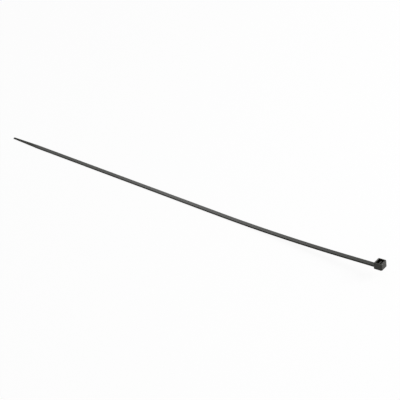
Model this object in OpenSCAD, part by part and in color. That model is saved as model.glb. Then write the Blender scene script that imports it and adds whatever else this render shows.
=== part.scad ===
// One-piece moulded cable tie, lying on its toothed side.
// The strap runs along X, with its tip at -X and its head at +X, and is symmetric about Y = 0.
// From the tip it lies flat on Z = 0, then a slight set in the material bends it up and lifts the head.
// Distances called s run along the strap's underside from the tip. All lengths are in millimetres.

/* [Overall] */
// Length along the strap, from the tip to the far end of the head
tie_length = 370; // [250:1:450]

/* [Strap] */
// Width of the strap
strap_width = 3.6; // [3.2:0.1:5]
// Thickness of the strap over its side rails
strap_thickness = 1.15; // [0.95:0.05:1.4]
// Radius along the strap's long edges
edge_radius = 0.25; // [0.1:0.05:0.35]

/* [Set in the strap] */
// Angle that the bend turns the strap through
bend_angle = 4.5; // [1:0.5:8]
// Length of strap that the bend is spread over
bend_length = 112; // [60:1:150]
// Straight stretch between the bend and the head
lifted_length = 21.4; // [14:0.2:40]

/* [Teeth] */
// Distance from one tooth to the next
tooth_pitch = 1.2; // [1:0.05:2]
// Depth of the teeth below their crests
tooth_depth = 0.4; // [0.2:0.05:0.5]
// How far the crests lie behind the side rails
crest_recess = 0.05; // [0.03:0.01:0.1]
// Length of the flat on each crest
crest_flat = 0.15; // [0.05:0.05:0.3]
// Width of the plain rail on each side of the teeth
rail_width = 0.5; // [0.4:0.05:0.8]
// Plain strap between the last tooth and the head
neck_length = 8; // [4:0.5:14]

/* [Tip] */
// Length of the narrow tip
tip_length = 29; // [20:1:40]
// Width of the tip just behind its rounded end
tip_width = 1.7; // [1.2:0.1:2.4]
// Thickness of the tip
tip_thickness = 0.95; // [0.7:0.05:0.95]
// How far the tip's underside lies above the strap's
tip_relief = 0.15; // [0.05:0.05:0.2]
// Number of grip grooves across the tip's underside
groove_count = 9; // [3:1:11]
// Distance from one grip groove to the next
groove_pitch = 1.8; // [1.2:0.1:2]
// Depth of the grip grooves
groove_depth = 0.2; // [0.1:0.05:0.3]
// Plain tip in front of the first grip groove
groove_margin = 4; // [2:0.5:6]

/* [Head] */
// Length of the head along the strap
head_length = 6.2; // [5.4:0.1:8]
// Width of the head
head_width = 7; // [6.4:0.1:9]
// Height of the head from its entry face to its exit face
head_height = 4.8; // [4.2:0.1:6]
// How far the entry face lies below the strap's underside
head_drop = 0.2; // [0.05:0.05:0.3]
// Radius of the far end's upright edges
far_corner_radius = 1.1; // [0.6:0.1:1.6]
// Radius of the root side's upright edges
root_corner_radius = 0.6; // [0.4:0.1:1]
// Radius of the edges round the exit and entry faces
face_edge_radius = 0.4; // [0.2:0.05:0.6]
// Radius of the fillet between the strap's smooth side and the head
neck_fillet = 0.5; // [0.2:0.1:0.8]

/* [Slot and pawl] */
// Clearance on each side of a tail in the slot
slot_side_clearance = 0.18; // [0.1:0.02:0.3]
// Clearance between a tail and the two faces it runs between
slot_face_clearance = 0.3; // [0.2:0.05:0.4]
// Thickness of the wall at the head's far end
far_wall = 1.2; // [0.8:0.1:1.6]
// Thickness of the wall at the strap's root
root_wall = 0.9; // [0.7:0.1:1.1]
// Thickness of the walls beside the pawl's chamber, which is wider than the slot
side_wall = 1; // [0.8:0.1:1.4]
// Height of the solid floor under the pawl
pawl_floor = 1.6; // [1.5:0.1:1.8]
// Widening of the slot's mouth at the entry face
mouth_bevel = 0.35; // [0.1:0.05:0.4]
// Thickness of the pawl's thin hinge
hinge_thickness = 0.45; // [0.3:0.05:0.6]
// Thickness of the pawl at its free end
pawl_thickness = 0.85; // [0.6:0.05:1]
// How far the pawl's free end lies below the exit face
pawl_setback = 0.8; // [0.3:0.1:0.9]
// Bevel round the window in the exit face
window_bevel = 0.2; // [0.05:0.05:0.3]
// How much narrower the pawl is than the slot, on each side
pawl_side_gap = 0.25; // [0.15:0.05:0.4]
// How far the pawl's teeth reach into the slot
pawl_reach = 0.3; // [0.15:0.05:0.4]
// Number of teeth on the pawl
pawl_teeth = 2; // [1:1:2]

/* [Hidden] */
nylon_black = [0.09, 0.09, 0.09];

// Number of straight facets along the bend, and steps round the nose, each long edge and the neck fillet
bend_steps = 5;
nose_steps = 5;
edge_steps = 2;
fillet_steps = 4;
// Angle round the nose at which its blunt end stops, and the share of the tip's thickness left there
nose_start = 25;
nose_share = 0.5;
// Length of the slope between the tip's thickness and the strap's
shoulder_length = 0.4;
// How far a cutting shape runs past the surface that it cuts
overrun = 1;
// How deep the strap's end is rooted in the head's wall
root_depth = root_wall * 0.7;
circle_facets = 48;

bend_radius = bend_length / (bend_angle * PI / 180);
strap_end = tie_length - head_length;
bend_start = strap_end - lifted_length - bend_length;
bend_end = bend_start + bend_length;
bend_facet = bend_length / bend_steps;
teeth_start = tip_length + shoulder_length + tooth_pitch;
teeth_end = strap_end - neck_length;
tooth_count = floor((teeth_end - teeth_start) / tooth_pitch);
tooth_band = strap_width - 2 * rail_width;

slot_width = strap_width + 2 * slot_side_clearance;
slot_thickness = strap_thickness + slot_face_clearance;
slot_far = head_length - far_wall;
slot_near = slot_far - slot_thickness;
chamber_width = max(slot_width, head_width - 2 * side_wall);
pawl_top = head_height - pawl_setback;
pawl_width = slot_width - 2 * pawl_side_gap;

// Slope of the strap at a distance s from the tip, in degrees
function slope_at(s) = bend_angle * min(1, max(0, (s - bend_start) / bend_length));

// Point on the underside at a distance s from the tip, as [along X, up Z], where the bend is a true arc
function arc_at(s) =
    let (slope = slope_at(s), straight = max(0, s - bend_end))
    [
        min(s, bend_start) + bend_radius * sin(slope) + straight * cos(slope),
        bend_radius * (1 - cos(slope)) + straight * sin(slope)
    ];

// The same point where the bend is drawn as a few straight facets, as the solid is
function path_at(s) =
    let (
        place = (s - bend_start) / bend_facet,
        i = min(bend_steps - 1, floor(place))
    )
    s <= bend_start || s >= bend_end
        ? arc_at(s)
        : arc_at(bend_start + i * bend_facet) * (i + 1 - place)
            + arc_at(bend_start + (i + 1) * bend_facet) * (place - i);

// The same point raised by h, at right angles to the strap
function raised(s, h) = path_at(s) + h * [-sin(slope_at(s)), cos(slope_at(s))];

// The part's length along X, which puts the origin under its middle
span = path_at(tie_length)[0];

// Outline across the strap as [across, up], for half its width, its underside's height and its thickness
function section(half, low, thickness) =
    let (r = min(edge_radius, half * 0.7, thickness * 0.4))
    [
        for (corner = [0:3], i = [0:edge_steps])
        let (
            turn = 90 * (corner - 1 + i / edge_steps),
            side = corner < 2 ? 1 : -1,
            height = low + (corner == 1 || corner == 2 ? thickness - r : r)
        )
        [side * (half - r) + r * cos(turn), height + r * sin(turn)]
    ];

// Stations along the strap as [s, half its width, its underside's height, its thickness]
nose = [
    for (i = [0:nose_steps])
    let (turn = nose_start + (90 - nose_start) * i / nose_steps)
    [
        tip_width / 2 * (cos(nose_start) - cos(turn)),
        tip_width / 2 * sin(turn),
        tip_relief,
        tip_thickness * (nose_share + (1 - nose_share) * sin(turn))
    ]
];
shoulder = [
    [tip_length, strap_width / 2, tip_relief, tip_thickness],
    [tip_length + shoulder_length, strap_width / 2, 0, strap_thickness]
];
bend = [
    for (i = [0:bend_steps])
    [bend_start + bend_facet * i, strap_width / 2, 0, strap_thickness]
];
fillet = [
    for (i = [0:fillet_steps])
    let (turn = 90 * i / fillet_steps)
    [
        strap_end - neck_fillet * (1 - sin(turn)),
        strap_width / 2,
        0,
        strap_thickness + neck_fillet * (1 - cos(turn))
    ]
];
root = [[strap_end + root_depth, strap_width / 2, 0, strap_thickness]];
stations = concat(nose, shoulder, bend, fillet, root);

module strap_body() {
    ring = 4 * (edge_steps + 1);
    rings = len(stations);
    points = [
        for (station = stations)
        for (p = section(station[1], station[2], station[3]))
        let (place = raised(station[0], p[1]))
        [place[0], p[0], place[1]]
    ];
    sides = [
        for (i = [0:rings - 2], j = [0:ring - 1])
        let (next = (j + 1) % ring)
        [i * ring + j, (i + 1) * ring + j, (i + 1) * ring + next, i * ring + next]
    ];
    start = [for (j = [0:ring - 1]) j];
    finish = [for (j = [ring - 1:-1:0]) (rings - 1) * ring + j];
    polyhedron(points, concat(sides, [start, finish]), convexity = 10);
}

// Extrudes a side view, drawn as [along X, up Z], across the strap
module across(width) {
    rotate([90, 0, 0])
        linear_extrude(width, center = true)
            children();
}

// The teeth are ramps that rise towards the head and end in a step that faces it
module teeth_cut() {
    root = crest_recess + tooth_depth;
    saw = [
        for (i = [0:tooth_count - 1])
        let (s = teeth_start + i * tooth_pitch)
        each [raised(s, root), raised(s + tooth_pitch - crest_flat, crest_recess), raised(s + tooth_pitch, crest_recess)]
    ];
    saw_end = teeth_start + tooth_count * tooth_pitch;
    below = [
        raised(saw_end, -overrun),
        for (i = [bend_steps:-1:0])
        raised(bend_start + bend_facet * i, -overrun),
        raised(teeth_start, -overrun)
    ];
    across(tooth_band)
        polygon(concat(saw, below));
}

module grip_cut() {
    for (i = [0:groove_count - 1])
        translate([groove_margin + i * groove_pitch, 0, tip_relief])
            across(strap_width + overrun)
                polygon([
                    [0, groove_depth],
                    [-groove_depth - overrun, -overrun],
                    [groove_depth + overrun, -overrun]
                ]);
}

// Rectangle from a low corner to a high one, whose two low-X and two high-X corners have their own radii
module rounded_rectangle(low, high, low_radius, high_radius) {
    translate([low[0] + low_radius, low[1]])
        square([high[0] - high_radius - low[0] - low_radius, high[1] - low[1]]);
    for (end = [[low[0] + low_radius, low_radius], [high[0] - high_radius, high_radius]]) {
        translate([end[0] - end[1], low[1] + end[1]])
            square([2 * end[1], high[1] - low[1] - 2 * end[1]]);
        for (y = [low[1] + end[1], high[1] - end[1]])
            translate([end[0], y])
                circle(end[1], $fn = circle_facets);
    }
}

// The head stands on its own entry face, with its root side at X = 0
module head_block() {
    half = head_width / 2;
    intersection() {
        linear_extrude(head_height)
            rounded_rectangle([0, -half], [head_length, half], root_corner_radius, far_corner_radius);
        across(head_width)
            rounded_rectangle([0, 0], [head_length, head_height], face_edge_radius, face_edge_radius);
        rotate([90, 0, 90])
            linear_extrude(head_length)
                rounded_rectangle([-half, 0], [half, head_height], face_edge_radius, face_edge_radius);
    }
}

// The slot widens at its mouth in the entry face, and runs up through the floor
module slot_cut() {
    across(slot_width)
        polygon([
            [slot_near - mouth_bevel - overrun, -overrun],
            [slot_far + mouth_bevel + overrun, -overrun],
            [slot_far, mouth_bevel],
            [slot_far, pawl_floor + overrun],
            [slot_near, pawl_floor + overrun],
            [slot_near, mouth_bevel]
        ]);
}

// Above the floor lies the pawl's chamber, which is open at the window in the exit face
module chamber_cut() {
    across(chamber_width)
        polygon([
            [root_wall, pawl_floor],
            [slot_far, pawl_floor],
            [slot_far, head_height - window_bevel],
            [slot_far + window_bevel + overrun, head_height + overrun],
            [root_wall - window_bevel - overrun, head_height + overrun],
            [root_wall, head_height - window_bevel]
        ]);
}

// The pawl stands on the floor by a thin hinge and leans into the slot, free end towards the exit face
module pawl() {
    foot = slot_near - hinge_thickness;
    teeth_bottom = pawl_top - pawl_teeth * tooth_pitch;
    teeth = [
        for (i = [0:pawl_teeth - 1])
        let (z = teeth_bottom + i * tooth_pitch)
        each [[slot_near, z], [slot_near + pawl_reach, z + tooth_pitch - crest_flat], [slot_near + pawl_reach, z + tooth_pitch]]
    ];
    across(pawl_width)
        polygon(concat(
            [[foot, pawl_floor - root_depth / 2], [slot_near, pawl_floor - root_depth / 2]],
            teeth,
            [[slot_near - pawl_thickness, pawl_top], [foot, pawl_floor + hinge_thickness]]
        ));
}

module head() {
    difference() {
        head_block();
        slot_cut();
        chamber_cut();
    }
    pawl();
}

module cable_tie() {
    head_place = raised(strap_end, -head_drop);
    color(nylon_black)
        translate([-span / 2, 0, 0]) {
            difference() {
                strap_body();
                teeth_cut();
                grip_cut();
            }
            translate([head_place[0], 0, head_place[1]])
                rotate([0, -bend_angle, 0])
                    head();
        }
}

cable_tie();
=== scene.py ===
import math

import bmesh
import bpy
from mathutils import Matrix, Vector


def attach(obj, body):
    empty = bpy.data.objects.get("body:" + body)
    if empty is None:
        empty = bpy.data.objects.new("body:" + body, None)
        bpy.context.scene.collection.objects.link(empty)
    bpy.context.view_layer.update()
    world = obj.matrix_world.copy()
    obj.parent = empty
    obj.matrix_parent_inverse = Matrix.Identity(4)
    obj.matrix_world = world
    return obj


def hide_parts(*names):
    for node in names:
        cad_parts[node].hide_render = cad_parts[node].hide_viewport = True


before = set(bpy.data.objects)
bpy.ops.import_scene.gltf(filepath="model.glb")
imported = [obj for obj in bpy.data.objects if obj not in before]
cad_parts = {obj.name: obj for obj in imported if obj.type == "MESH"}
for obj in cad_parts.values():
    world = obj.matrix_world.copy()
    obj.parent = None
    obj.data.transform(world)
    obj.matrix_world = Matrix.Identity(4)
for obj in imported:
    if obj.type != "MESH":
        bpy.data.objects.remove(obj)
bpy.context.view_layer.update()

bl_info = {
    "name": "Cable tie",
    "version": (1, 0, 0),
    "blender": (4, 5, 0),
    "location": "3D View > Sidebar > Cable tie",
    "description": "Moulds a one-piece nylon cable tie round its packed CAD part, and lights it",
    "category": "Object",
}

NODE = "cable_tie"
BODY = "root"
PIECE = "tie_moulding"

MM = 0.001
WELD = 0.0005 * MM              # points closer than this are one
OVERCUT = 1 * MM                # how far a cutter stands out of the face that it cuts
PAWL_SUNK = 0.3 * MM            # how deep the pawl's foot is joined into its floor
ROOT_SINK = 0.7                 # share of the head's root wall that the strap runs into
COUNT_SLACK = 1e-4              # keeps rounding from losing the last tooth

# The strap's sweep: stations along each stretch, and what each of their points stores
STATIONS = {"nose": 14, "tip": 300, "step": 7, "plain": 3, "neck": 7, "fillet": 9, "root": 3}
STATION_FIELDS = ("along", "half", "low", "tall", "channel")
RING_FIELD = "place"
PER_TOOTH = 3                   # stations on each tooth
EDGE_STEPS = 6                  # steps round each of the strap's long edges
NOSE_TALL = 0.45                # height of the tip's very end over the tip's thickness
NOSE_RISE = 0.4                 # share of the nose's thinning that its underside takes
GROOVE_SPREAD = 1.5             # half of a grip groove's width over its depth
EDGE_OF_HALF = 0.7              # most of the half width that an edge radius takes
EDGE_OF_TALL = 0.4              # most of the height that an edge radius takes

# Segments of the head's roundings and of the pawl's curved back
FAR_STEPS, ROOT_STEPS, RIM_STEPS, CRISP_STEPS, LEAN_STEPS = 10, 7, 6, 2, 8
CRISP_ANGLE = math.radians(28)  # edges sharper than this are rounded as moulding does
SHARP_ANGLE = math.radians(32)  # edges sharper than this aren't shaded smooth

# Where the gloss fades: painted shade along the strap's long edges, at the head's foot and down in
# the chamber, and a darker tip
TIP_FADE = 8 * MM               # length of strap round the tip's root over which the tip darkens
FOOT_FADE = 1.2 * MM            # height above the head's entry face over which the painted shade at the foot fades
CHAMBER_FADE = 1.6 * MM         # depth below the head's exit face over which the chamber's painted shade deepens
FACE_MARGIN = 0.05 * MM         # how far outside a face still counts as inside

# The photograph's viewpoint, fitted to the strap's line and the head's corners
AZIMUTH, ELEVATION, ROLL = math.radians(42.33), math.radians(32.43), math.radians(-5.93)
DISTANCE, ACROSS, UP = 726.7 * MM, 21.26 * MM, -1.9 * MM
FOCAL_PIXELS, FRAME_PIXELS = 942.4, 400
SENSOR = 36                     # width of the camera's sensor in millimetres

# Each lamp's name in StudioLook, the side of its square and its place, in metres
LAMPS = (("key", 0.7, (0.95, 0.65, 0.6)), ("glow", 0.3, (-0.8, 0.9, 0.78)))
FLOOR_REACH = 4.0               # metres from the floor's middle to each side


def length(label, description, millimetres):
    return bpy.props.FloatProperty(
        name=label, description=description, default=millimetres * MM, min=0.0,
        precision=5, subtype="DISTANCE", unit="LENGTH",
    )


def count(label, description, number):
    return bpy.props.IntProperty(name=label, description=description, default=number, min=1)


def share(label, description, value):
    return bpy.props.FloatProperty(
        name=label, description=description, default=value, min=0.0, max=1.0, subtype="FACTOR",
    )


def colour(label, description, value):
    return bpy.props.FloatVectorProperty(
        name=label, description=description, default=value, size=3, min=0.0, max=1.0,
        subtype="COLOR",
    )


def power(label, description, watts):
    return bpy.props.FloatProperty(
        name=label, description=description, default=watts, min=0.0, unit="POWER",
    )


class StrapSizes(bpy.types.PropertyGroup):
    """Sizes of the strap, its teeth and its tip, the same as in the CAD part"""
    total: length("Length", "Length along the strap, from the tip to the head's far end", 370)
    width: length("Width", "Width of the strap", 3.6)
    thickness: length("Thickness", "Thickness of the strap over its side rails", 1.15)
    edge: length("Edge radius", "Radius along the strap's long edges", 0.25)
    bend: bpy.props.FloatProperty(
        name="Bend", description="Angle that the set in the strap turns it through",
        default=math.radians(4.5), subtype="ANGLE", unit="ROTATION",
    )
    bend_length: length("Bend length", "Length of strap that the bend is spread over", 112)
    lifted: length("Lifted length", "Straight stretch between the bend and the head", 21.4)
    pitch: length("Tooth pitch", "Distance from one tooth to the next", 1.2)
    depth: length("Tooth depth", "Depth of the teeth below their crests", 0.4)
    recess: length("Crest recess", "How far the crests lie behind the side rails", 0.05)
    crest: length("Crest flat", "Length of the flat on each crest", 0.15)
    rail: length("Rail width", "Width of the plain rail on each side of the teeth", 0.5)
    neck: length("Neck length", "Plain strap between the last tooth and the head", 8)
    tip: length("Tip length", "Length of the narrow tip", 29)
    tip_width: length("Tip width", "Width of the tip just behind its rounded end", 1.7)
    tip_thickness: length("Tip thickness", "Thickness of the tip", 0.95)
    relief: length("Tip relief", "How far the tip's underside lies above the strap's", 0.15)
    shoulder: length("Shoulder", "Length of the slope between the tip and the strap", 0.4)
    grooves: count("Grip grooves", "Number of grip grooves across the tip's underside", 9)
    groove_pitch: length("Groove pitch", "Distance from one grip groove to the next", 1.8)
    groove_depth: length("Groove depth", "Depth of the grip grooves", 0.2)
    groove_margin: length("Groove margin", "Plain tip in front of the first grip groove", 4)


class HeadSizes(bpy.types.PropertyGroup):
    """Sizes of the head, its slot and its pawl, the same as in the CAD part"""
    long: length("Length", "Length of the head along the strap", 6.2)
    wide: length("Width", "Width of the head", 7.0)
    high: length("Height", "Height of the head from its entry face to its exit face", 4.8)
    drop: length("Drop", "How far the entry face lies below the strap's underside", 0.2)
    far_corner: length("Far corners", "Radius of the far end's upright edges", 1.1)
    root_corner: length("Root corners", "Radius of the root side's upright edges", 0.6)
    face_edge: length("Face edges", "Radius round the exit and entry faces", 0.4)
    fillet: length("Neck fillet", "Radius between the strap's smooth side and the head", 0.5)
    side_gap: length("Slot side clearance", "Clearance on each side of a tail in the slot", 0.18)
    face_gap: length("Slot face clearance", "Clearance between a tail and the faces beside it", 0.3)
    far_wall: length("Far wall", "Thickness of the wall at the head's far end", 1.2)
    root_wall: length("Root wall", "Thickness of the wall at the strap's root", 0.9)
    floor: length("Pawl floor", "Height of the solid floor under the pawl", 1.6)
    chamber: length("Chamber width", "Width of the pawl's chamber above the slot", 5.0)
    mouth: length("Mouth bevel", "Widening of the slot's mouth at the entry face", 0.35)
    window: length("Window bevel", "Bevel round the window in the exit face", 0.2)
    hinge: length("Hinge", "Thickness of the pawl's thin hinge", 0.45)
    pawl: length("Pawl thickness", "Thickness of the pawl at its free end", 0.85)
    setback: length("Pawl setback", "How far the pawl's free end lies below the exit face", 0.8)
    pawl_gap: length("Pawl gap", "Gap between the pawl and each side of its window", 0.25)
    reach: length("Pawl reach", "How far the pawl's teeth reach into the slot", 0.3)
    pawl_teeth: count("Pawl teeth", "Number of teeth on the pawl", 2)
    crisp: length("Moulded edge", "Radius that moulding leaves on the head's sharp edges", 0.07)


class NylonLook(bpy.types.PropertyGroup):
    """Finish of the black nylon"""
    base: colour("Colour", "Colour of the nylon", (0.0065, 0.0068, 0.0035))
    pale: colour("Pale colour", "Colour where the resin flowed paler", (0.0125, 0.013, 0.009))
    polish: share("Smoothest", "Roughness of the most polished places", 0.26)
    matte: share("Roughest", "Roughness of the most matte places", 0.42)
    scuffs: share("Scuffs", "How much rougher the fine handling marks are", 0.05)
    # The skin is taken off the long edges, the head's foot and the chamber as painted shade, and
    # off the tip so that the tip renders darker
    skin: share("Skin", "Weight of the glossy skin on the flat and outer faces", 0.43)
    skin_rough: share("Skin roughness", "Roughness of the glossy skin", 0.3)
    grain: share("Grain", "Strength of the fine moulded grain", 0.5)


class StudioLook(bpy.types.PropertyGroup):
    """Looks of the floor, the background and the lights"""
    floor: colour("Floor", "Colour of the floor", (0.86, 0.86, 0.86))
    white: share("White", "How much of the floor is plain white to the camera", 0.92)
    mirrored: share("Mirrored white", "How much of the floor is plain white in reflections", 0.35)
    key: power("Key", "Power of the large light behind the head", 16.0)
    glow: power("Glow", "Power of the small light behind the tip", 0.7)
    sky: share("Sky", "Strength of the even light from all round", 0.5)


class Value:
    """A socket or number of a node tree that takes part in Python arithmetic"""

    def __init__(self, graph, source):
        self.graph = graph
        self.source = source

    def maths(self, operation, *others):
        return self.graph.add("ShaderNodeMath", {"operation": operation}, [self, *others])

    def __add__(self, other):
        return self.maths("ADD", other)

    def __sub__(self, other):
        return self.maths("SUBTRACT", other)

    def __mul__(self, other):
        return self.maths("MULTIPLY", other)

    def __truediv__(self, other):
        return self.maths("DIVIDE", other)

    def __mod__(self, other):
        return self.maths("MODULO", other)

    def __pow__(self, other):
        return self.maths("POWER", other)

    def __radd__(self, other):
        return self.graph.value(other) + self

    def __rsub__(self, other):
        return self.graph.value(other) - self

    def __rmul__(self, other):
        return self.graph.value(other) * self

    def __rtruediv__(self, other):
        return self.graph.value(other) / self

    def __rmod__(self, other):
        return self.graph.value(other) % self

    def __rpow__(self, other):
        return self.graph.value(other) ** self

    def __lt__(self, other):
        return self.maths("LESS_THAN", other)

    def __gt__(self, other):
        return self.maths("GREATER_THAN", other)

    def least(self, other):
        return self.maths("MINIMUM", other)

    def most(self, other):
        return self.maths("MAXIMUM", other)

    def clipped(self):
        return self.most(0.0).least(1.0)

    def floor(self):
        return self.maths("FLOOR")

    def size(self):
        return self.maths("ABSOLUTE")

    def sin(self):
        return self.maths("SINE")

    def cos(self):
        return self.maths("COSINE")

    def nearest(self):
        return self.maths("ROUND")


class Graph:
    """Adds nodes to a tree.

    node() takes a node's type, its settings and the values or links of its sockets. add() does
    the same and returns one output, the first unless another is named.
    """

    def __init__(self, tree):
        self.tree = tree
        self.tree.nodes.clear()

    def value(self, source):
        return source if isinstance(source, Value) else Value(self, source)

    def feed(self, socket, source):
        if isinstance(source, Value):
            source = source.source
        if isinstance(source, bpy.types.NodeSocket):
            self.tree.links.new(source, socket)
        else:
            socket.default_value = source

    def node(self, kind, settings=None, inputs=None):
        node = self.tree.nodes.new(kind)
        for name, setting in (settings or {}).items():
            setattr(node, name, setting)
        pairs = inputs.items() if isinstance(inputs, dict) else enumerate(inputs or [])
        for key, source in pairs:
            self.feed(node.inputs[key], source)
        return node

    def add(self, kind, settings=None, inputs=None, output=0):
        return Value(self, self.node(kind, settings, inputs).outputs[output])

    def xyz(self, vector):
        split = self.node("ShaderNodeSeparateXYZ", None, [vector])
        return [Value(self, socket) for socket in split.outputs]

    def vector(self, x, y, z):
        return self.add("ShaderNodeCombineXYZ", None, [x, y, z])

    def object_place(self):
        return self.add("ShaderNodeTexCoord", output="Object")

    def noise(self, vector, scale, detail, roughness=0.5):
        return self.add(
            "ShaderNodeTexNoise", None,
            {"Vector": vector, "Scale": scale, "Detail": detail, "Roughness": roughness}, "Fac",
        )


def add_object(name, data):
    """An object that holds data, linked to the scene"""
    made = bpy.data.objects.new(name, data)
    bpy.context.scene.collection.objects.link(made)
    return made


def plain_mesh(holder):
    """What an object looks like with its modifiers, as a plain mesh; the object is removed"""
    graph = bpy.context.evaluated_depsgraph_get()
    graph.update()
    mesh = bpy.data.meshes.new_from_object(holder.evaluated_get(graph), depsgraph=graph)
    bpy.data.objects.remove(holder)
    return mesh


def modified(mesh, kind, **settings):
    """A mesh with one modifier of that kind applied"""
    holder = add_object("holder", mesh)
    modifier = holder.modifiers.new("modifier", kind)
    for name, setting in settings.items():
        setattr(modifier, name, setting)
    return plain_mesh(holder)


def mesh_from(bm, name):
    """A bmesh as a mesh; the bmesh is freed"""
    mesh = bpy.data.meshes.new(name)
    bm.to_mesh(mesh)
    bm.free()
    return mesh


def strap_marks(strap, head):
    """Distances along the strap at which one stretch of it ends and the next begins"""
    end = strap.total - head.long
    teeth_start = strap.tip + strap.shoulder + strap.pitch
    tooth_count = int((end - strap.neck - teeth_start) / strap.pitch + COUNT_SLACK)
    bend_start = end - strap.lifted - strap.bend_length
    return {
        "end": end,
        "teeth_start": teeth_start,
        "tooth_count": tooth_count,
        "bend_start": bend_start,
        "root": end + head.root_wall * ROOT_SINK,
    }


def along_strap(s, strap, head):
    """Point on the strap's underside, as (along X, up Z), and the slope there"""
    marks = strap_marks(strap, head)
    radius = strap.bend_length / strap.bend
    into = s - marks["bend_start"]
    slope = strap.bend * min(1.0, max(0.0, into / strap.bend_length))
    straight = max(0.0, into - strap.bend_length)
    x = min(s, marks["bend_start"]) + radius * math.sin(slope) + straight * math.cos(slope)
    z = radius * (1 - math.cos(slope)) + straight * math.sin(slope)
    return x, z, slope


def half_span(strap, head):
    """Half of the part's length along X, which puts the origin under its middle"""
    return along_strap(strap.total, strap, head)[0] / 2


def section_ring():
    """The strap's section as a ring of points for the node tree to sweep.

    Position holds (side, share of the thickness, share of the tooth channel). The attribute turn
    holds what the edge radius adds across and up, and whether the point lies a rail's width in
    from the side.
    """
    right = [((0, 0, 1), (0, 0, 0)), ((1, 0, 1), (0, 0, 1)), ((1, 0, 0), (0, 0, 1))]
    for i in range(EDGE_STEPS + 1):
        a = math.radians(-90 + 90 * i / EDGE_STEPS)
        right.append(((1, 0, 0), (math.cos(a) - 1, 1 + math.sin(a), 0)))
    for i in range(EDGE_STEPS + 1):
        a = math.radians(90 * i / EDGE_STEPS)
        right.append(((1, 1, 0), (math.cos(a) - 1, math.sin(a) - 1, 0)))
    right.append(((0, 1, 0), (0, 0, 0)))
    left = [((-p[0], p[1], p[2]), (-t[0], t[1], t[2])) for p, t in reversed(right[1:-1])]
    ring = right + left
    mesh = bpy.data.meshes.new("strap_section")
    mesh.from_pydata([p for p, _ in ring], [], [])
    turn = mesh.attributes.new("turn", "FLOAT_VECTOR", "POINT")
    for i, (_, t) in enumerate(ring):
        turn.data[i].vector = t
    return mesh


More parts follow.
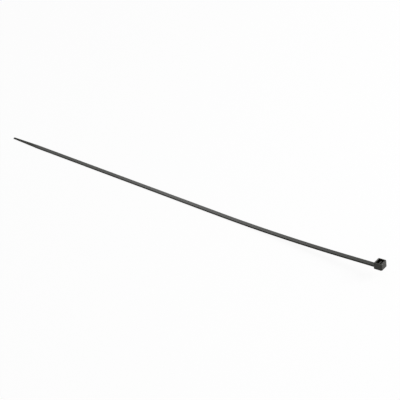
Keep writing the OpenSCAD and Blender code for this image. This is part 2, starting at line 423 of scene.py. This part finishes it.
def strap_tree(sizes, counts):
    """Node tree that lays the section's ring at stations, by the rule of each stretch of strap"""
    tree = bpy.data.node_groups.new("strap sweep", "GeometryNodeTree")
    tree.is_modifier = True
    graph = Graph(tree)
    sockets = [("Geometry", "Geometry")]
    sockets += [(name, "Float") for name in sizes] + [(name, "Int") for name in counts]
    sockets.append(("Material", "Material"))
    for name, kind in sockets:
        tree.interface.new_socket(name, in_out="INPUT", socket_type=f"NodeSocket{kind}")
    tree.interface.new_socket("Geometry", in_out="OUTPUT", socket_type="NodeSocketGeometry")

    group_in = graph.node("NodeGroupInput")
    given = {socket.name: graph.value(socket) for socket in group_in.outputs if socket.name}
    ring_geometry = group_in.outputs["Geometry"]
    ring_count = graph.add(
        "GeometryNodeAttributeDomainSize", {"component": "MESH"}, {"Geometry": ring_geometry},
        "Point Count",
    )
    width, thick = given["Width"], given["Thickness"]
    tip_thick, relief = given["Tip Thickness"], given["Tip Relief"]
    nose_radius = given["Tip Width"] * 0.5
    step_end = given["Tip Length"] + given["Shoulder"]
    teeth_stations = given["Tooth Count"] * PER_TOOTH + 2
    teeth_end = given["Teeth Start"] + given["Tooth Count"] * given["Tooth Pitch"]
    fillet_start = given["Strap End"] - given["Neck Fillet"]

    def stretch(stations, rule):
        """A grid of stations by ring points, with each station's place and section on it"""
        grid = graph.add(
            "GeometryNodeMeshGrid", None,
            {"Size X": 1.0, "Size Y": 1.0, "Vertices X": stations, "Vertices Y": ring_count + 1},
        )
        index = graph.add("GeometryNodeInputIndex")
        row = ((index + 0.5) / (ring_count + 1)).floor()
        place = index - row * (ring_count + 1)
        part = row / (graph.value(stations) - 1)
        fields = dict(zip(STATION_FIELDS, rule(row, part)))
        fields[RING_FIELD] = (place + 0.5) % ring_count
        for name, field in fields.items():
            grid = graph.add(
                "GeometryNodeStoreNamedAttribute", {"data_type": "FLOAT", "domain": "POINT"},
                {"Geometry": grid, "Name": name, "Value": field},
            )
        return grid

    def nose(row, part):
        turn = part * (math.pi / 2)
        tall = tip_thick * (NOSE_TALL + (1 - NOSE_TALL) * turn.sin())
        return (
            nose_radius * (1 - turn.cos()), nose_radius * turn.sin(),
            relief + (tip_thick - tall) * NOSE_RISE, tall, 0.0,
        )

    def tip(row, part):
        along = nose_radius + part * (given["Tip Length"] - nose_radius)
        half = nose_radius + part * (width * 0.5 - nose_radius)
        number = ((along - given["Groove Margin"]) / given["Groove Pitch"]).nearest()
        number = number.most(0.0).least(given["Groove Count"] - 1)
        away = (along - given["Groove Margin"] - number * given["Groove Pitch"]).size()
        away = away / (given["Groove Depth"] * GROOVE_SPREAD)
        dip = (1 - away ** 2.0).most(0.0) ** 2.0 * given["Groove Depth"]
        return along, half, relief + dip, tip_thick - dip, 0.0

    def step(row, part):
        ease = part * part * (3 - 2 * part)
        return (
            given["Tip Length"] + part * given["Shoulder"], width * 0.5,
            relief * (1 - ease), tip_thick + ease * (thick - tip_thick), 0.0,
        )

    def plain(row, part):
        return step_end + part * (given["Teeth Start"] - step_end), width * 0.5, 0.0, thick, 0.0

    def teeth(row, part):
        inner = (row - 1).most(0.0).least(teeth_stations - 3)
        tooth = ((inner + 0.5) / PER_TOOTH).floor()
        phase = inner - tooth * PER_TOOTH
        after_ramp, at_end = phase > 0.5, phase > 1.5
        along = given["Teeth Start"] + (tooth + after_ramp) * given["Tooth Pitch"]
        along = along - (after_ramp - at_end) * given["Crest Flat"]
        inside = (row > 0.5) * (row < teeth_stations - 1.5)
        depth = inside * (given["Crest Recess"] + (1 - after_ramp) * given["Tooth Depth"])
        return along, width * 0.5, 0.0, thick, depth

    def neck(row, part):
        return teeth_end + part * (fillet_start - teeth_end), width * 0.5, 0.0, thick, 0.0

    def fillet(row, part):
        turn = part * (math.pi / 2)
        return (
            fillet_start + given["Neck Fillet"] * turn.sin(), width * 0.5, 0.0,
            thick + given["Neck Fillet"] * (1 - turn.cos()), 0.0,
        )

    def root(row, part):
        into, closed = (row > 0.5), (row > 1.5)
        along = given["Strap End"] + row.least(1.0) * (given["Root End"] - given["Strap End"])
        tall = (thick + given["Neck Fillet"] * (1 - into)) * (1 - closed)
        return along, width * 0.5 * (1 - closed), closed * thick * 0.5, tall, 0.0

    join = graph.node("GeometryNodeJoinGeometry")
    stations = {**STATIONS, "teeth": teeth_stations}
    for rule in (nose, tip, step, plain, teeth, neck, fillet, root):
        part = stretch(stations[rule.__name__], rule)
        tree.links.new(part.source, join.inputs[0])

    def stored(name, kind="FLOAT"):
        return graph.add(
            "GeometryNodeInputNamedAttribute", {"data_type": kind}, {"Name": name}, "Attribute",
        )

    along, half, low, tall, channel = (stored(name) for name in STATION_FIELDS)
    ring_index = stored(RING_FIELD).floor()

    def sampled(source):
        return graph.xyz(graph.add(
            "GeometryNodeSampleIndex", {"data_type": "FLOAT_VECTOR", "domain": "POINT"},
            {"Geometry": ring_geometry, "Value": source, "Index": ring_index},
        ))

    side, share_up, in_channel = sampled(graph.add("GeometryNodeInputPosition"))
    turn_across, turn_up, on_rail = sampled(stored("turn", "FLOAT_VECTOR"))
    edge = given["Edge Radius"].least(half * EDGE_OF_HALF).least(tall * EDGE_OF_TALL)
    across = side * (half - on_rail * given["Rail Width"]).most(0.0) + edge * turn_across
    up = low + share_up * tall + edge * turn_up + in_channel * channel

    into = along - given["Bend Start"]
    radius = given["Bend Length"] / given["Bend"]
    slope = given["Bend"] * (into / given["Bend Length"]).clipped()
    straight = (into - given["Bend Length"]).most(0.0)
    x = along.least(given["Bend Start"]) + radius * slope.sin() + straight * slope.cos()
    z = radius * (1 - slope.cos()) + straight * slope.sin()
    x = x - up * slope.sin() - given["Half Span"]
    z = z + up * slope.cos()
    laid = graph.add("GeometryNodeSetPosition", None, {
        "Geometry": join.outputs[0], "Position": graph.vector(x, across, z),
    })
    merged = graph.add("GeometryNodeMergeByDistance", None, {"Geometry": laid, "Distance": WELD})
    real = graph.add("GeometryNodeRealizeInstances", None, [merged])
    finished = graph.add(
        "GeometryNodeSetMaterial", None, {"Geometry": real, "Material": given["Material"]},
    )
    graph.node("NodeGroupOutput", None, [finished])
    return tree


def sweep_strap(strap, head, material):
    """The strap as a plain closed mesh, swept by the node tree"""
    marks = strap_marks(strap, head)
    sizes = {
        "Width": strap.width, "Thickness": strap.thickness, "Edge Radius": strap.edge,
        "Bend": strap.bend, "Bend Start": marks["bend_start"], "Bend Length": strap.bend_length,
        "Half Span": half_span(strap, head), "Teeth Start": marks["teeth_start"],
        "Tooth Pitch": strap.pitch, "Tooth Depth": strap.depth, "Crest Recess": strap.recess,
        "Crest Flat": strap.crest, "Rail Width": strap.rail, "Shoulder": strap.shoulder,
        "Tip Length": strap.tip, "Tip Width": strap.tip_width,
        "Tip Thickness": strap.tip_thickness, "Tip Relief": strap.relief,
        "Groove Pitch": strap.groove_pitch, "Groove Depth": strap.groove_depth,
        "Groove Margin": strap.groove_margin, "Strap End": marks["end"],
        "Root End": marks["root"], "Neck Fillet": head.fillet,
    }
    counts = {"Tooth Count": marks["tooth_count"], "Groove Count": strap.grooves}
    values = {**sizes, **counts, "Material": material}
    tree = strap_tree(sizes, counts)
    holder = add_object("strap_sweep", section_ring())
    modifier = holder.modifiers.new("sweep", "NODES")
    modifier.node_group = tree
    for item in tree.interface.items_tree:
        if item.in_out == "INPUT" and item.name in values:
            modifier[item.identifier] = values[item.name]
    mesh = plain_mesh(holder)
    for name in (*STATION_FIELDS, RING_FIELD):
        if name in mesh.attributes:
            mesh.attributes.remove(mesh.attributes[name])
    return mesh


def close_mesh(mesh, name):
    """Welds a mesh, turns its faces outwards and makes sure that it is closed"""
    bm = bmesh.new()
    bm.from_mesh(mesh)
    bmesh.ops.remove_doubles(bm, verts=bm.verts, dist=WELD)
    bmesh.ops.dissolve_degenerate(bm, edges=bm.edges, dist=WELD)
    bmesh.ops.recalc_face_normals(bm, faces=bm.faces)
    open_edges = sum(1 for e in bm.edges if not e.is_manifold)
    bm.to_mesh(mesh)
    bm.free()
    if open_edges:
        raise RuntimeError(f"{name} has {open_edges} open edges")
    return mesh


def prism(outline, width):
    """A side view, as (along X, up Z) points, extruded across the strap"""
    bm = bmesh.new()
    near = [bm.verts.new((x, -width / 2, z)) for x, z in outline]
    far = [bm.verts.new((x, width / 2, z)) for x, z in outline]
    bm.faces.new(near)
    bm.faces.new(list(reversed(far)))
    for i in range(len(outline)):
        j = (i + 1) % len(outline)
        bm.faces.new([near[j], near[i], far[i], far[j]])
    bmesh.ops.recalc_face_normals(bm, faces=bm.faces)
    return mesh_from(bm, "prism")


def head_block(head):
    """The head's rounded block, standing on its entry face with its root side at X = 0"""
    bm = bmesh.new()
    bmesh.ops.create_cube(bm, size=1.0)
    for v in bm.verts:
        v.co = Vector(((v.co.x + 0.5) * head.long, v.co.y * head.wide, (v.co.z + 0.5) * head.high))

    def upright(far):
        return [
            e for e in bm.edges
            if abs(e.verts[0].co.z - e.verts[1].co.z) > head.high / 2
            and (e.verts[0].co.x > head.long / 2) == far
        ]

    def rims():
        return [
            e for e in bm.edges
            if abs(e.verts[0].co.z - e.verts[1].co.z) < WELD
            and (e.verts[0].co.z < WELD or e.verts[0].co.z > head.high - WELD)
        ]

    def rounded(edges, radius, steps):
        bmesh.ops.bevel(
            bm, geom=edges, offset=radius, offset_type="OFFSET", segments=steps, profile=0.5,
            affect="EDGES", clamp_overlap=False,
        )

    rounded(upright(True), head.far_corner, FAR_STEPS)
    rounded(upright(False), head.root_corner, ROOT_STEPS)
    rounded(rims(), head.face_edge, RIM_STEPS)
    bmesh.ops.recalc_face_normals(bm, faces=bm.faces)
    return mesh_from(bm, "head_block")


def slot_faces(strap, head):
    """Where the slot's near and far faces stand along the head"""
    far = head.long - head.far_wall
    return far - strap.thickness - head.face_gap, far


def mouth_outline(strap, head):
    """Side view of the slot's mouth, which widens at the entry face and ends in the chamber"""
    near, far = slot_faces(strap, head)
    return [
        (near - head.mouth - OVERCUT, -OVERCUT),
        (far + head.mouth + OVERCUT, -OVERCUT),
        (far, head.mouth),
        (far, head.floor + OVERCUT),
        (near, head.floor + OVERCUT),
        (near, head.mouth),
    ]


def chamber_outline(strap, head):
    """Side view of the pawl's chamber, from its floor to the window in the exit face"""
    far = slot_faces(strap, head)[1]
    return [
        (head.root_wall, head.floor),
        (far, head.floor),
        (far, head.high - head.window),
        (far + head.window + OVERCUT, head.high + OVERCUT),
        (head.root_wall - head.window - OVERCUT, head.high + OVERCUT),
        (head.root_wall, head.high - head.window),
    ]


def pawl_outline(strap, head):
    """Side view of the pawl, which stands on the floor by its thin hinge and leans into the slot"""
    near = slot_faces(strap, head)[0]
    foot = near - head.hinge
    top = head.high - head.setback
    sunk = head.floor - PAWL_SUNK
    outline = [(foot, sunk), (near, sunk)]
    bottom = top - head.pawl_teeth * strap.pitch
    for i in range(head.pawl_teeth):
        z = bottom + i * strap.pitch
        outline += [
            (near, z),
            (near + head.reach, z + strap.pitch - strap.crest),
            (near + head.reach, z + strap.pitch),
        ]
    back = near - head.pawl
    for i in range(LEAN_STEPS + 1):
        t = i / LEAN_STEPS
        lean = t * t * (3 - 2 * t)
        z = top - (top - head.floor - head.hinge) * t
        outline.append((back + (foot - back) * lean, z))
    return outline


def joined(mesh, *tools):
    """A mesh with others cut from it or added to it; tools are (mesh, operation) pairs"""
    for tool, operation in tools:
        other = add_object("tool", tool)
        mesh = modified(mesh, "BOOLEAN", operation=operation, solver="EXACT", object=other)
        bpy.data.objects.remove(other)
    return mesh


def soften(mesh, width):
    """Rounds the sharp edges that the slot and pawl leave, as moulding does"""
    return modified(
        mesh, "BEVEL", width=width, segments=CRISP_STEPS, limit_method="ANGLE",
        angle_limit=CRISP_ANGLE, use_clamp_overlap=True,
    )


def mould_head(strap, head):
    """The head with its slot and pawl, placed at the strap's end"""
    slot_width = strap.width + 2 * head.side_gap
    mouth = prism(mouth_outline(strap, head), slot_width)
    chamber = prism(chamber_outline(strap, head), head.chamber)
    pawl = prism(pawl_outline(strap, head), slot_width - 2 * head.pawl_gap)
    mesh = joined(head_block(head), (mouth, "DIFFERENCE"), (chamber, "DIFFERENCE"), (pawl, "UNION"))
    mesh = soften(close_mesh(mesh, "the head"), head.crisp)
    mesh = close_mesh(mesh, "the softened head")
    x, z, slope = along_strap(strap.total - head.long, strap, head)
    down = Vector((math.sin(slope), 0, -math.cos(slope))) * head.drop
    place = Matrix.Translation(Vector((x - half_span(strap, head), 0, z)) + down)
    mesh.transform(place @ Matrix.Rotation(-slope, 4, "Y"))
    return mesh


def glossy_faces(graph, place, strap, head):
    """Coat mask: 1 on the flat and outer faces and 0 on the tip, the long edges, the head's foot
    and deep inside; the drop at the edges, the foot and inside is painted shade, and on the tip it
    makes the tip render darker
    """
    x, y, z = graph.xyz(place)
    tip_end = strap.tip - half_span(strap, head)
    # Less gloss towards the tip, so that the tip renders darker
    off_tip = ((x - tip_end) / TIP_FADE + 0.5).clipped()
    foot, rise, slope = along_strap(strap.total - head.long, strap, head)
    x, z = x - (foot - half_span(strap, head)), z - rise
    along = x * math.cos(slope) + z * math.sin(slope)
    above = z * math.cos(slope) - x * math.sin(slope) + head.drop
    inside = along > head.root_wall - FACE_MARGIN
    inside = inside * (along < head.long - head.far_wall + FACE_MARGIN)
    inside = inside * (y.size() < head.chamber / 2 + FACE_MARGIN) * (above > head.mouth)
    # Painted shade: the gloss falls away down in the chamber, where the window's shade falls
    depth = ((head.high - above) / CHAMBER_FADE).clipped()
    # Painted shade: the gloss is taken off the strap's long edges and off the head's foot
    on_flat = ((strap.width / 2 - y.size()) / strap.edge).clipped()
    off_foot = (above / FOOT_FADE).clipped()
    in_head = along > -FACE_MARGIN
    return off_tip * (on_flat + in_head * (off_foot - on_flat)) * (1 - inside * depth)


def nylon_material(look, strap, head):
    """Black moulded nylon: faint flow, patchy sheen, handling marks, grain and a glossy skin, with
    painted shade where the skin is taken off the long edges, the head's foot and the chamber, and a
    darker tip
    """
    material = bpy.data.materials.new("black nylon")
    material.use_nodes = True
    graph = Graph(material.node_tree)
    place = graph.object_place()
    stretched = graph.add("ShaderNodeMapping", None, {"Vector": place, "Scale": (0.06, 1.0, 1.0)})
    slanted = graph.add(
        "ShaderNodeMapping", None,
        {"Vector": place, "Rotation": (0.0, 0.3, math.radians(24)), "Scale": (0.16, 1.0, 1.0)},
    )
    flow = graph.noise(stretched, scale=900.0, detail=4.0)
    cloud = graph.noise(place, scale=55.0, detail=3.0)
    grain = graph.noise(place, scale=9000.0, detail=2.0)
    pits = graph.noise(place, scale=2600.0, detail=3.0, roughness=0.6)
    # Only the peaks of a noise become scuffs, and the middle of its range sets the shade
    scuffs = ((graph.noise(slanted, scale=7500.0, detail=2.0) - 0.6) * 6.0).clipped()
    shade = ((flow * 0.6 + cloud * 0.4 - 0.3) * 2.5).clipped()
    # The colour Mix node's factor, first colour and second colour are its inputs 0, 6 and 7
    base = graph.add(
        "ShaderNodeMix", {"data_type": "RGBA"},
        {0: shade, 6: (*look.base, 1.0), 7: (*look.pale, 1.0)}, 2,
    )
    rough = look.polish + (look.matte - look.polish) * (cloud * 0.5 + flow * 0.25 + pits * 0.25)
    rough = rough + scuffs * look.scuffs
    bump = graph.add("ShaderNodeBump", None, {
        "Strength": look.grain, "Distance": 0.02 * MM,
        "Height": grain * 0.5 + pits * 0.35 + flow * 0.15,
    })
    shader = graph.add("ShaderNodeBsdfPrincipled", None, {
        "Base Color": base, "Roughness": rough, "Normal": bump,
        "IOR": 1.53, "Specular IOR Level": 0.12,
        # The coat's weight is painted shade: it is taken off the long edges, the head's foot and
        # the chamber, and off the tip so that the tip renders darker
        "Coat Weight": glossy_faces(graph, place, strap, head) * look.skin,
        "Coat Roughness": look.skin_rough,
    })
    graph.node("ShaderNodeOutputMaterial", None, {"Surface": shader})
    return material


def smooth_mesh(mesh):
    """Smooth shading that keeps the real corners crisp and the flats flat"""
    mesh.polygons.foreach_set("use_smooth", [True] * len(mesh.polygons))
    mesh.set_sharp_from_angle(angle=SHARP_ANGLE)
    return modified(mesh, "WEIGHTED_NORMAL", keep_sharp=True)


class TIE_OT_moulding(bpy.types.Operator):
    """Mould the strap with its teeth and tip and the head with its slot and pawl, as one piece"""
    bl_idname = "cable_tie.moulding"
    bl_label = "Mould the tie"

    def execute(self, context):
        scene = context.scene
        strap, head = scene.tie_strap, scene.tie_head
        material = nylon_material(scene.tie_nylon, strap, head)
        strap_mesh = close_mesh(sweep_strap(strap, head, material), "the strap")
        head_mesh = mould_head(strap, head)
        mesh = joined(head_mesh, (strap_mesh, "UNION"))
        mesh = smooth_mesh(close_mesh(mesh, "the moulding"))
        mesh.name = PIECE
        mesh.materials.clear()
        mesh.materials.append(material)
        mesh.polygons.foreach_set("material_index", [0] * len(mesh.polygons))
        piece = add_object(PIECE, mesh)
        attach(piece, BODY)
        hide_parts(NODE)
        return {"FINISHED"}


def camera_white(graph, shown, lit, direct, mirrored):
    """The lit shader, with a share of the shown one for the camera and one for reflections"""
    path = graph.node("ShaderNodeLightPath")
    camera, glossy, through = (
        Value(graph, path.outputs[name])
        for name in ("Is Camera Ray", "Is Glossy Ray", "Is Transmission Ray")
    )
    seen = (camera * direct).most(glossy.most(through) * mirrored)
    return graph.add("ShaderNodeMixShader", None, [seen, lit, shown])


def soft_light(name, watts, side, place):
    """A soft square lamp at place that faces the tie's middle"""
    lamp = bpy.data.lights.new(name, "AREA")
    lamp.shape = "SQUARE"
    lamp.size = side
    lamp.energy = watts
    holder = add_object(name, lamp)
    holder.location = place
    holder.rotation_euler = (-Vector(place)).to_track_quat("-Z", "Y").to_euler()


def photo_camera():
    """A camera at the photograph's viewpoint"""
    flat = math.cos(ELEVATION)
    back = Vector((math.sin(AZIMUTH) * flat, -math.cos(AZIMUTH) * flat, math.sin(ELEVATION)))
    level_x = Vector((math.cos(AZIMUTH), math.sin(AZIMUTH), 0))
    level_y = back.cross(level_x)
    x_axis = level_x * math.cos(ROLL) + level_y * math.sin(ROLL)
    y_axis = level_y * math.cos(ROLL) - level_x * math.sin(ROLL)
    camera = bpy.data.cameras.new("photo camera")
    camera.sensor_width = SENSOR
    camera.lens = FOCAL_PIXELS / FRAME_PIXELS * SENSOR
    camera.clip_start = 10 * MM
    holder = add_object("photo camera", camera)
    place = back * DISTANCE + x_axis * ACROSS + y_axis * UP
    turn = Matrix((x_axis, y_axis, back)).transposed().to_4x4()
    holder.matrix_world = Matrix.Translation(place) @ turn
    return holder


def pale_floor(look):
    """A wide plain floor that looks white and keeps the tie's shadow"""
    material = bpy.data.materials.new("pale floor")
    material.use_nodes = True
    graph = Graph(material.node_tree)
    mottle = graph.noise(graph.object_place(), scale=30.0, detail=4.0)
    lit = graph.add("ShaderNodeBsdfPrincipled", None, {
        "Base Color": (*look.floor, 1.0), "Roughness": 0.85 + mottle * 0.1,
        "Specular IOR Level": 0.1,
    })
    shown = graph.add("ShaderNodeEmission", None, {"Color": (1, 1, 1, 1), "Strength": 1.0})
    white = camera_white(graph, shown, lit, look.white, look.mirrored)
    graph.node("ShaderNodeOutputMaterial", None, {"Surface": white})
    bm = bmesh.new()
    bmesh.ops.create_grid(bm, x_segments=8, y_segments=8, size=FLOOR_REACH)
    mesh = mesh_from(bm, "floor")
    mesh.materials.append(material)
    return add_object("floor", mesh)


def white_sky(look):
    """A world that looks white and gives a soft even light"""
    world = bpy.data.worlds.new("studio")
    world.use_nodes = True
    graph = Graph(world.node_tree)
    sky, white = (
        graph.add("ShaderNodeBackground", None, {"Color": (1, 1, 1, 1), "Strength": strength})
        for strength in (look.sky, 1.0)
    )
    mixed = camera_white(graph, white, sky, 1.0, 1.0)
    graph.node("ShaderNodeOutputWorld", None, {"Surface": mixed})
    return world


class TIE_OT_stage(bpy.types.Operator):
    """Lay the floor, set the lights and put the camera at the photograph's viewpoint"""
    bl_idname = "cable_tie.stage"
    bl_label = "Set the stage"

    def execute(self, context):
        scene = context.scene
        look = scene.tie_studio
        scene.view_settings.view_transform = "Standard"
        floor = pale_floor(look)
        scene.world = white_sky(look)
        for name, side, place in LAMPS:
            soft_light(name, getattr(look, name), side, place)
        scene.camera = photo_camera()
        return {"FINISHED"}


class TIE_PT_panel(bpy.types.Panel):
    """Sizes and colours of the cable tie"""
    bl_idname = "TIE_PT_panel"
    bl_label = "Cable tie"
    bl_space_type = "VIEW_3D"
    bl_region_type = "UI"
    bl_category = "Cable tie"

    def draw(self, context):
        for title, group in (
            ("Strap", context.scene.tie_strap), ("Head", context.scene.tie_head),
            ("Nylon", context.scene.tie_nylon), ("Studio", context.scene.tie_studio),
        ):
            box = self.layout.box()
            box.label(text=title)
            for name in group.__annotations__:
                box.prop(group, name)
        self.layout.operator(TIE_OT_moulding.bl_idname)
        self.layout.operator(TIE_OT_stage.bl_idname)


GROUPS = {
    "tie_strap": StrapSizes,
    "tie_head": HeadSizes,
    "tie_nylon": NylonLook,
    "tie_studio": StudioLook,
}
CLASSES = (*GROUPS.values(), TIE_OT_moulding, TIE_OT_stage, TIE_PT_panel)


def register():
    for cls in CLASSES:
        bpy.utils.register_class(cls)
    for name, group in GROUPS.items():
        setattr(bpy.types.Scene, name, bpy.props.PointerProperty(type=group))


def unregister():
    for name in GROUPS:
        delattr(bpy.types.Scene, name)
    for cls in reversed(CLASSES):
        bpy.utils.unregister_class(cls)


def main():
    register()
    bpy.ops.cable_tie.moulding()
    bpy.ops.cable_tie.stage()


if __name__ == "__main__":
    main()
